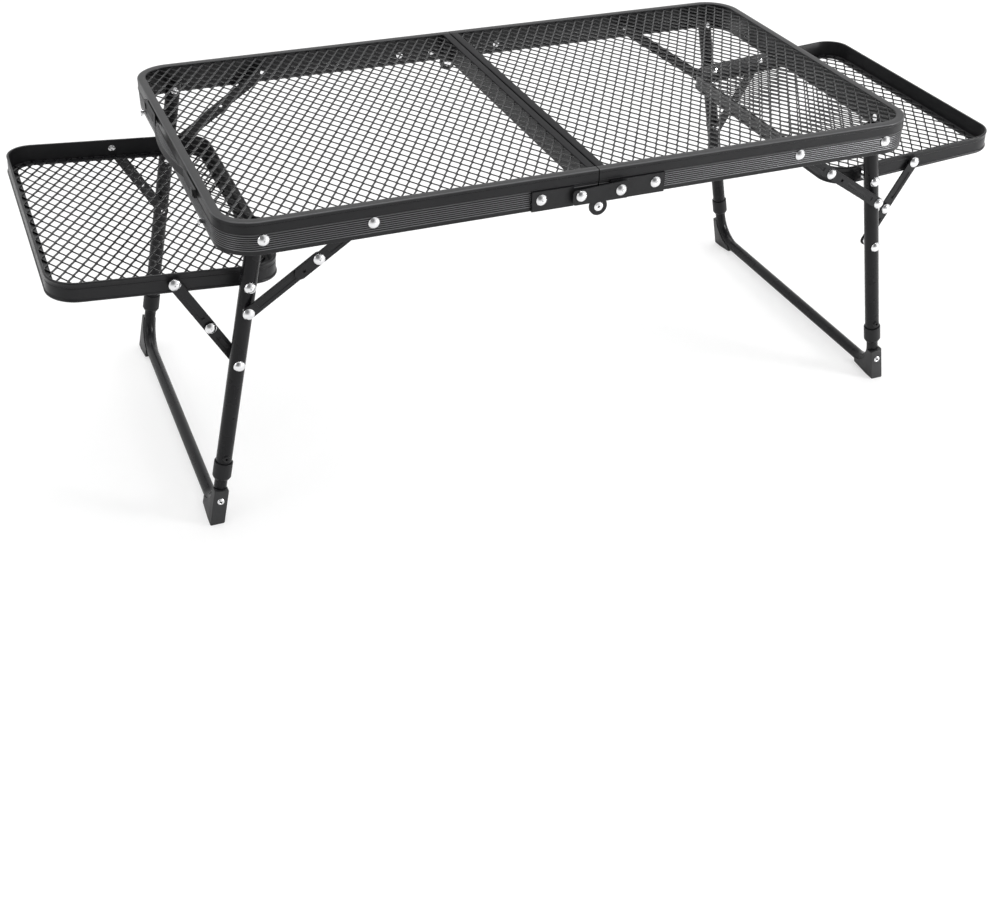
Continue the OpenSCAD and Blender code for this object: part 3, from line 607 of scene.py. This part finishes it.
# Collars. Each is a moulded plastic sleeve pressed over the lower end of an upper tube. It is
# straight and then tapered down to the tube that slides in it.
collar_edge = 0.0004
collar_black = coated(
    "collar_black", (0.007, 0.007, 0.008), (0.013, 0.013, 0.014),
    rough=0.46, grain=1600.0, bump=0.5, rub=0.2, specular=0.25,
)


def rounded_edges(piece, width, steps, angle):
    """Rounds the edges of a piece that are sharper than an angle."""
    edge = piece.modifiers.new("edge", "BEVEL")
    edge.width = width
    edge.segments = steps
    edge.limit_method = "ANGLE"
    edge.angle_limit = math.radians(angle)
    edge.harden_normals = True


def eased(node, name, body, material, width, steps=2, angle=32.0):
    """A merged copy of a CAD node whose edges sharper than an angle are rounded over.

    It replaces the node and shares its material with it.
    """
    same_point, same_plane = 2e-6, math.radians(1.5)
    data = frame["nodes"][node].data.copy()
    data.name = name
    whole = bmesh.new()
    whole.from_mesh(data)
    bmesh.ops.remove_doubles(whole, verts=whole.verts, dist=same_point)
    bmesh.ops.dissolve_limit(whole, angle_limit=same_plane, verts=whole.verts, edges=whole.edges)
    whole.to_mesh(data)
    whole.free()
    data.materials.clear()
    data.materials.append(material)
    data.shade_smooth()
    data.set_sharp_from_angle(angle=math.radians(angle))
    piece = bpy.data.objects.new(name, data)
    bpy.context.scene.collection.objects.link(piece)
    rounded_edges(piece, width, steps, angle)
    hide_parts(node)
    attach(piece, body)
    paint([node], material)


for half_name in halves:
    eased(half_name + "collars", half_name + "collars_moulded", half_name + "leg",
          collar_black, collar_edge)


# Links, latch plates and hinge plates. All are cut from flat steel strip with rounded ends,
# pressed to shape, coated black, and held or joined by domed rivets.
plate_edge = 0.0003
plate_black = coated(
    "plate_black", (0.006, 0.006, 0.007), (0.013, 0.013, 0.014),
    rough=0.40, grain=1200.0, bump=0.4, rub=0.45,
)
bodies = frame["record"]["behaviour"]["bodies"]
body_of = {node: body for body, members in bodies.items() for node in members}
for half_name in halves:
    for kind in ("brace_uppers", "brace_lowers", "wing_brace_uppers", "wing_brace_lowers",
                 "latch_plate", "hinge_plates"):
        eased(half_name + kind, half_name + kind + "_pressed", body_of[half_name + kind],
              plate_black, plate_edge)


# Carry strap. It is a ribbed band of black rubber with doubled flat ends, bowed away from the
# left end of the frame so that fingers pass behind it, and held by a black clip at each end.
strap_t = 0.0016
strap_end_l = 0.046
strap_gap = 0.0003
strap_blend_l = 0.008
strap_ribs = 7
half_rib_depth = 0.00022
ribbed_share = 0.93
round_from = 0.86

strap_rubber = coated(
    "strap_rubber", (0.006, 0.006, 0.007), (0.012, 0.012, 0.013),
    rough=0.46, grain=2200.0, bump=0.7, rub=0.3, specular=0.4,
)


def bowed_strap(low, high, stations=180, across_steps=57):
    """A band along Y with a ribbed outer face: points and faces.

    The middle follows a circle's arc over its chord, cut off where it meets the flat ends,
    and the band's thickness doubles smoothly there. Across the band, its outer face falls
    between the ribs by a cosine with one period for each rib, and its edges are round.
    """
    y = np.linspace(low.y, high.y, stations)
    half_chord = high.y - strap_end_l
    seat = high.x - strap_gap
    rise = seat - low.x - strap_t
    radius = (half_chord ** 2 + rise ** 2) / (2 * rise)
    curve = np.sqrt(np.maximum(radius ** 2 - y ** 2, 0)) - (radius - rise)
    away = np.clip(curve, 0, None)
    ends = np.clip((np.abs(y) - half_chord) / strap_blend_l + 0.5, 0, 1)
    deep = strap_t * (1 + ends * ends * (3 - 2 * ends))
    across = np.linspace(-1, 1, across_steps)
    ribbed = np.abs(across) < ribbed_share
    rib = half_rib_depth * (np.cos(across * math.pi * strap_ribs) - 1) * ribbed
    fall = np.clip((np.abs(across) - round_from) / (1 - round_from), 0, 1)
    drop = (deep / 2)[:, None] * (1 - np.sqrt(1 - fall ** 2))[None, :]
    outer_x = (seat - away - deep)[:, None] - rib[None, :] + drop
    inner_x = (seat - away)[:, None] - drop[:, ::-1]
    z = (high.z + low.z) / 2 + (high.z - low.z) / 2 * across
    ring_x = np.concatenate((outer_x, inner_x[:, 1:-1]), axis=1)
    ring_z = np.broadcast_to(np.concatenate((z, z[::-1][1:-1]))[None, :], ring_x.shape)
    ring_y = np.broadcast_to(y[:, None], ring_x.shape)
    points = np.stack((ring_x, ring_y, ring_z), axis=-1)
    return points.reshape(-1, 3), ring_faces(*ring_x.shape)


points, faces = bowed_strap(*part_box("handle_strap"))
strap_piece = finished("carry_strap", points, faces, strap_rubber, soft_below=50.0)
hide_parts("handle_strap")
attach(strap_piece, "left_half")
paint(["handle_strap"], strap_rubber)
paint(["handle_clips"], plate_black)


# Feet and bar caps, moulded in black plastic. A foot is a wedge under the bend of the lower
# tube, flat on the ground, with a half round bed for the tube, so that the bend stays in
# sight from the inside. A cap is a plug pushed into the end of a centre bar.
splay = math.radians(12)
lower_tube_r = 0.0065
bend_r = 0.032
bar_axis_h = 0.01176
foot_half_w = 0.0075
foot_top = 0.041
foot_toe = 0.037
foot_toe_rise = 0.0036
foot_flat = 0.012
foot_skin = 0.0025
foot_soft = 0.0015
foot_edge = 0.0004
foot_edge_angle = 40.0

moulded_black = coated(
    "moulded_black", (0.020, 0.020, 0.021), (0.034, 0.034, 0.035),
    rough=0.50, grain=1600.0, bump=0.6, rub=0.2, specular=0.4,
)
paint([half_name + kind for half_name in halves for kind in ("bar_caps", "feet")],
      moulded_black)


def foot_wedge(rows=9, corner_steps=5, bed_steps=17):
    """One foot in its leg's frame: across, inward from its outer face, up from the ground.

    Station k joins the tube's bend, centre - bend_r * (cos a, sin a), with the outline, which
    runs down the outer face, along the ground and up to the toe. A ring goes out to the
    outline, across it with rounded corners, and back along the bed's half circle. The ground
    slopes across the foot by the leg's splay.
    """
    centre = np.array((foot_skin + lower_tube_r + bend_r, bar_axis_h + bend_r))
    share = np.linspace(0.0, 1.0, rows)
    face = np.stack((0 * share, foot_top * (1 - share)), axis=1)
    under = np.stack((foot_flat + (foot_toe - foot_flat) * share, foot_toe_rise * share), axis=1)
    outline = np.concatenate((face, under))
    slope = np.concatenate((share, np.ones(rows))) * math.tan(splay)
    angle = np.linspace(math.asin((centre[1] - foot_top) / bend_r),
                        math.acos((centre[0] - foot_toe) / bend_r), 2 * rows)
    lean = -np.stack((np.cos(angle), np.sin(angle)), axis=1)
    bend = centre + bend_r * lean
    lean[0], lean[-1] = (-1.0, 0.0), (0.0, -1.0)
    turn = np.radians(np.linspace(0.0, 90.0, corner_steps))
    corner_x = foot_half_w - foot_soft * (1 - np.cos(turn))
    corner_back = foot_soft * (1 - np.sin(turn))
    out_x = np.concatenate((corner_x, -corner_x[::-1]))
    back = np.concatenate((corner_back, corner_back[::-1]))
    away = bend - outline
    away /= np.linalg.norm(away, axis=1)[:, None]
    outer = outline[:, None, :] + back[None, :, None] * away[:, None, :]
    outer[:, :, 1] += slope[:, None] * out_x[None, :]
    bed = np.radians(np.linspace(180.0, 0.0, bed_steps))
    depth = lower_tube_r * np.sin(bed)
    inner = bend[:, None, :] + depth[None, :, None] * lean[:, None, :]
    rim = bend[:, None, :]
    plane = np.concatenate((rim, outer, rim, inner), axis=1)
    across = np.concatenate(([foot_half_w], out_x, [-foot_half_w], lower_tube_r * np.cos(bed)))
    across = np.broadcast_to(across, plane.shape[:2])
    points = np.concatenate((across[:, :, None], plane), axis=2)
    return points.reshape(-1, 3), ring_faces(*across.shape)


wedge, wedge_faces = foot_wedge()
for half_name, outward in (("left_", -1), ("right_", 1)):
    pivot = pivots[half_name + "leg_fold"]
    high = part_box(half_name + "feet")[1]
    along = wedge[:, 2] - pivot[2] / math.cos(splay)
    x = outward * (abs(pivot[0]) - wedge[:, 0] * math.cos(splay) - along * math.sin(splay))
    z = pivot[2] - wedge[:, 0] * math.sin(splay) + along * math.cos(splay)
    points, faces = joined([(np.stack((x, side * (high.y - wedge[:, 1]), z), axis=1),
                             wedge_faces) for side in (-1, 1)])
    foot_piece = finished(half_name + "feet_moulded", points, faces, moulded_black)
    rounded_edges(foot_piece, foot_edge, 2, foot_edge_angle)
    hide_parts(half_name + "feet")
    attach(foot_piece, half_name + "lower_leg")


# Foot rivets. Each is a tubular steel rivet, plated bright, that holds a foot to its tube.
# Its rolled head leaves a dark hole in the middle.
hole_r = 0.00115
hole_depth = 0.0016
head_r = 0.00375
head_h = 0.0018
inner_roll_r = 0.0012
inner_roll_h = 0.00055
outer_roll_r = 0.00135
outer_roll_h = 0.00025
shank_r = 0.002


def bright_metal(name, colour, rough, grain, rub):
    """Plated steel: clouds in its gloss and faint duller scratches."""
    dull_share, gloss_low, gloss_high = 0.8, 0.04, 0.06
    material, tree, shader, skin = new_material(name, grain, rub)
    dull = tuple(dull_share * c for c in colour)
    shine = mix_colour(tree, skin.outputs["Rubbed"], colour, dull)
    gloss = ramp(tree, skin.outputs["Cloud"], rough - gloss_low, rough + gloss_high)
    tree.links.new(shine, shader.inputs["Base Color"])
    tree.links.new(gloss, shader.inputs["Roughness"])
    shader.inputs["Metallic"].default_value = 1.0
    return material


rivet_bright = bright_metal("rivet_bright", (0.80, 0.80, 0.81), 0.14, 1500.0, 0.6)


def hollow_rivet(x, z, side, face_y, end_y, steps=40):
    """A turned profile round the rivet's axis: (radius, way out of the foot) carried round.

    The profile goes from the floor of the hole up over the rolled head, which is two arcs,
    and down the shank.
    """
    shank_l = abs(end_y - face_y)
    profile = np.concatenate((
        ((0.0, -hole_depth), (hole_r, -hole_depth)),
        arc(hole_r + inner_roll_r, inner_roll_h, inner_roll_r, 180, 75, 8),
        arc(head_r - outer_roll_r, outer_roll_h, outer_roll_r, 70, 0, 7),
        ((head_r, 0.0), (shank_r, 0.0), (shank_r, -shank_l), (0.0, -shank_l))))
    turn = np.linspace(0, 2 * math.pi, steps, endpoint=False)[:, None]
    radius, out = profile[None, :, 0], profile[None, :, 1]
    points = np.stack((x + radius * np.cos(turn), face_y + side * (out + 0 * turn),
                       z + radius * np.sin(turn)), axis=-1)
    rows, cols = points.shape[:2]
    index = np.arange(rows * cols).reshape(rows, cols)
    after = np.roll(index, -1, 0)
    quads = np.stack((index[:, :-1], index[:, 1:], after[:, 1:], after[:, :-1]), axis=-1)
    return points.reshape(-1, 3), quads.reshape(-1, 4).tolist()


for half_name in halves:
    data = frame["nodes"][half_name + "foot_rivets"].data
    places = np.empty(len(data.vertices) * 3, dtype=np.float32)
    data.vertices.foreach_get("co", places)
    places = places.reshape(-1, 3)
    rivets = []
    for side in (-1, 1):
        mine = places[places[:, 1] * side > 0]
        low, high = mine.min(axis=0), mine.max(axis=0)
        outer, inner = (high[1], low[1]) if side > 0 else (low[1], high[1])
        rivets.append(hollow_rivet((low[0] + high[0]) / 2, (low[2] + high[2]) / 2, side,
                                   outer - side * head_h, inner))
    points, faces = joined(rivets)
    rivet_piece = finished(half_name + "foot_rivets_turned", points, faces, rivet_bright)
    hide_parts(half_name + "foot_rivets")
    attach(rivet_piece, half_name + "lower_leg")
    paint([half_name + "foot_rivets"], rivet_bright)


# Rivets, studs, fold pins and closing hooks, all of bright plated steel, and the black snap
# buttons, which a spring pushes out through holes in both tubes of a leg.
rivet_edge = 0.00015
rivet_edge_angle = 40.0
button_edge = 0.0002
for half_name in halves:
    for kind in ("frame_rivets", "studs", "latch_snap", "leg_rivets", "wing_rivets",
                 "brace_mid_rivets", "wing_brace_mid_rivets"):
        eased(half_name + kind, half_name + kind + "_bright", body_of[half_name + kind],
              rivet_bright, rivet_edge, steps=1, angle=rivet_edge_angle)
    for kind in ("near_button", "far_button"):
        eased(half_name + kind, half_name + kind + "_dark", body_of[half_name + kind],
              plate_black, button_edge)
for kind in ("hinge_pins", "near_hook", "far_hook", "hook_pivots"):
    eased(kind, kind + "_bright", body_of[kind], rivet_bright, rivet_edge,
          steps=1, angle=rivet_edge_angle)


# Studio. A white sweep under the table, a wide soft light above it and two softer ones at the
# sides, so that the black rails keep long pale glints.
floor_half = 9.0
near_share, glow_start, glow_full = 0.5, 0.9, 1.9


def floor_material():
    """White paper: a matte floor, half of it glowing white to the camera, so that only the
    deeper shadows show on it. Away from the table the glow takes over, up to the horizon."""
    material = bpy.data.materials.new("studio_floor")
    material.use_nodes = True
    tree = material.node_tree
    shader = tree.nodes["Principled BSDF"]
    shader.inputs["Base Color"].default_value = (0.93, 0.93, 0.93, 1)
    shader.inputs["Roughness"].default_value = 0.8
    shader.inputs["Specular IOR Level"].default_value = 0.1
    glow = tree.nodes.new("ShaderNodeEmission")
    glow.inputs["Strength"].default_value = 1.12
    view = tree.nodes.new("ShaderNodeLightPath")
    blend = tree.nodes.new("ShaderNodeMixShader")
    reach = tree.nodes.new("ShaderNodeVectorMath")
    reach.operation = "LENGTH"
    tree.links.new(tree.nodes.new("ShaderNodeTexCoord").outputs["Object"], reach.inputs[0])
    share = ramp(tree, reach.outputs["Value"], near_share, 1.0, glow_start, glow_full)
    share = math_node(tree, "MULTIPLY", view.outputs["Is Camera Ray"], share)
    tree.links.new(share, blend.inputs["Fac"])
    tree.links.new(shader.outputs["BSDF"], blend.inputs[1])
    tree.links.new(glow.outputs["Emission"], blend.inputs[2])
    tree.links.new(blend.outputs["Shader"], tree.nodes["Material Output"].inputs["Surface"])
    return material


floor_data = bpy.data.meshes.new("studio_floor")
floor_data.from_pydata([(-floor_half, -floor_half, 0), (floor_half, -floor_half, 0),
                        (floor_half, floor_half, 0), (-floor_half, floor_half, 0)],
                       [], [(0, 1, 2, 3)])
floor_data.materials.append(floor_material())
floor = bpy.data.objects.new("studio_floor", floor_data)
bpy.context.scene.collection.objects.link(floor)

light_target = Vector((0, 0, 0.2))
for name, place, size, power in (
    ("light_top", (0.3, 0.6, 2.6), 2.6, 62.0),
    ("light_left", (-2.4, -0.9, 1.5), 0.9, 8.0),
    ("light_right", (1.9, -1.6, 0.8), 0.6, 38.0),
):
    light_data = bpy.data.lights.new(name, "AREA")
    light_data.shape = "SQUARE"
    light_data.size = size
    light_data.energy = power
    light = bpy.data.objects.new(name, light_data)
    bpy.context.scene.collection.objects.link(light)
    light.location = place
    light.rotation_euler = (light_target - Vector(place)).to_track_quat("-Z", "Y").to_euler()

# The studio's dark side lies in front, to the left and above, and shines in the bright metal.
dark_side = (-0.32, -0.75, 0.58)
dark_level, dark_start, dark_full = 0.2, 0.66, 0.94
fill_light = 0.5
world = bpy.data.worlds.new("studio_world")
bpy.context.scene.world = world
world.use_nodes = True
tree = world.node_tree
sky = tree.nodes["Background"]
sky.inputs["Color"].default_value = (1, 1, 1, 1)
path = tree.nodes.new("ShaderNodeLightPath")
seen = math_node(tree, "MAXIMUM", path.outputs["Is Camera Ray"], path.outputs["Is Glossy Ray"])
seen = math_node(tree, "MAXIMUM", seen, path.outputs["Is Transmission Ray"])
facing = tree.nodes.new("ShaderNodeVectorMath")
facing.operation = "DOT_PRODUCT"
tree.links.new(tree.nodes.new("ShaderNodeTexCoord").outputs["Generated"], facing.inputs[0])
facing.inputs[1].default_value = dark_side
shade = ramp(tree, facing.outputs["Value"], 1.0, dark_level, dark_start, dark_full)
shade = math_node(tree, "MAXIMUM", shade, path.outputs["Is Camera Ray"])
lit = math_node(tree, "MULTIPLY", seen, shade)
fill = math_node(tree, "MULTIPLY", math_node(tree, "SUBTRACT", 1.0, seen), fill_light)
tree.links.new(math_node(tree, "ADD", lit, fill), sky.inputs["Strength"])
bpy.context.scene.view_settings.view_transform = "Standard"
